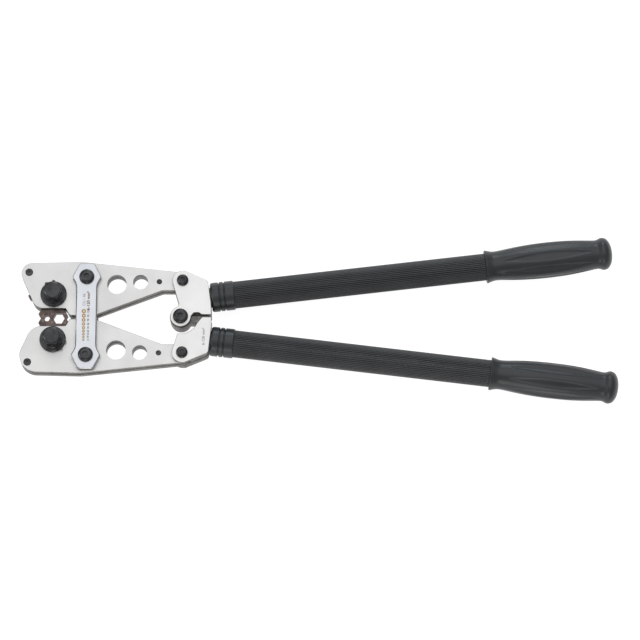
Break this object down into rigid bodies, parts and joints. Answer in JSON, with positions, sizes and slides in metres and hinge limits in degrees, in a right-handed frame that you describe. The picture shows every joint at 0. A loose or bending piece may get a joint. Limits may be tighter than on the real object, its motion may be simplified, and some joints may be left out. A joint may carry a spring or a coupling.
{
  "type": "crimping tool",
  "caption": "Long-handled hexagonal crimping tool: two plate jaws on a link, turnable die wheels, hinged handles with ribbed tubes and rubber grips.",
  "frame": {"origin": "centre of the bounding box at its lowest face, on the surface under the tool lying flat, closed", "axes": "+X along the tool from the dies to the grips, +Y towards the upper jaw, +Z out of the front face"},
  "size_m": [0.6514, 0.1856, 0.055],
  "materials": {
    "jaw_steel": "fine matte nickel-plated steel",
    "link_steel": "brushed bluish steel, etched scale",
    "bracket_steel": "light satin plated steel",
    "core_steel": "forged block, dark phosphate",
    "die_steel": "brown oxidised tool steel, stamped size marks",
    "black_oxide": "black oxide screws, spindles and clips",
    "spring_steel": "bright spring steel",
    "tube_black": "black anodised, fine lengthwise ribs",
    "rubber_black": "moulded black rubber, satin"
  },
  "bodies": {
    "upper_handle": {"centre_bolt": "black_oxide", "centre_nut": "black_oxide", "upper_bracket_front": "bracket_steel", "upper_bracket_rear": "bracket_steel", "upper_grip": "rubber_black", "upper_handle_bolt": "black_oxide", "upper_handle_core": "core_steel", "upper_handle_nut": "black_oxide", "upper_tube": "tube_black", "upper_tube_pin": "black_oxide", "upper_tube_sleeve": "rubber_black"},
    "link": {"link_plate_front": "link_steel", "link_plate_rear": "link_steel", "pivot_bolt_lower": "black_oxide", "pivot_bolt_upper": "black_oxide", "pivot_nut_lower": "black_oxide", "pivot_nut_upper": "black_oxide"},
    "lower_handle": {"lower_bracket_front": "bracket_steel", "lower_bracket_rear": "bracket_steel", "lower_grip": "rubber_black", "lower_handle_bolt": "black_oxide", "lower_handle_core": "core_steel", "lower_handle_nut": "black_oxide", "lower_tube": "tube_black", "lower_tube_pin": "black_oxide", "lower_tube_sleeve": "rubber_black"},
    "lower_jaw": {"lower_detent_ball": "spring_steel", "lower_detent_body": "black_oxide", "lower_detent_spring": "spring_steel", "lower_die_spindle": "black_oxide", "lower_die_wheel": "die_steel", "lower_front_circlip": "black_oxide", "lower_jaw_plate_front": "jaw_steel", "lower_jaw_plate_rear": "jaw_steel", "lower_nose_screw": "black_oxide", "lower_nose_spacer": "core_steel", "lower_pivot_spacer": "core_steel", "lower_rear_circlip": "black_oxide", "lower_rear_washer": "black_oxide", "lower_spindle_disk": "black_oxide", "lower_tail_pin": "black_oxide", "lower_tail_spacer": "core_steel"},
    "upper_jaw": {"upper_detent_ball": "spring_steel", "upper_detent_body": "black_oxide", "upper_detent_spring": "spring_steel", "upper_die_spindle": "black_oxide", "upper_die_wheel": "die_steel", "upper_front_circlip": "black_oxide", "upper_jaw_plate_front": "jaw_steel", "upper_jaw_plate_rear": "jaw_steel", "upper_nose_screw": "black_oxide", "upper_nose_spacer": "core_steel", "upper_pivot_spacer": "core_steel", "upper_rear_circlip": "black_oxide", "upper_rear_washer": "black_oxide", "upper_spindle_disk": "black_oxide", "upper_tail_pin": "black_oxide", "upper_tail_spacer": "core_steel"}
  },
  "joints": [
    {"name": "upper_jaw_pivot", "type": "hinge", "parent": "link", "child": "upper_jaw", "pos_m": [-0.2533, 0.04363, 0.023], "axis": [0, 0, 1], "range_deg": [-7.12, 0]},
    {"name": "upper_handle_pivot", "type": "hinge", "parent": "upper_jaw", "child": "upper_handle", "pos_m": [-0.149, 0.04043, 0.023], "axis": [0, 0, 1], "range_deg": [0, 57.12]},
    {"name": "centre_pivot", "type": "hinge", "parent": "upper_handle", "child": "lower_handle", "pos_m": [-0.1509, 0.00023, 0.023], "axis": [0, 0, 1], "range_deg": [-100, 0]},
    {"name": "lower_handle_pivot", "type": "hinge", "parent": "lower_handle", "child": "lower_jaw", "pos_m": [-0.149, -0.03997, 0.023], "axis": [0, 0, 1], "range_deg": [0, 57.12]}
  ],
  "couplings": [
    {"joint": "upper_jaw_pivot", "follows": "upper_handle_pivot", "ratio": -0.12466},
    {"joint": "centre_pivot", "follows": "upper_handle_pivot", "ratio": -1.7507},
    {"joint": "lower_handle_pivot", "follows": "upper_handle_pivot", "ratio": 1}
  ]
}
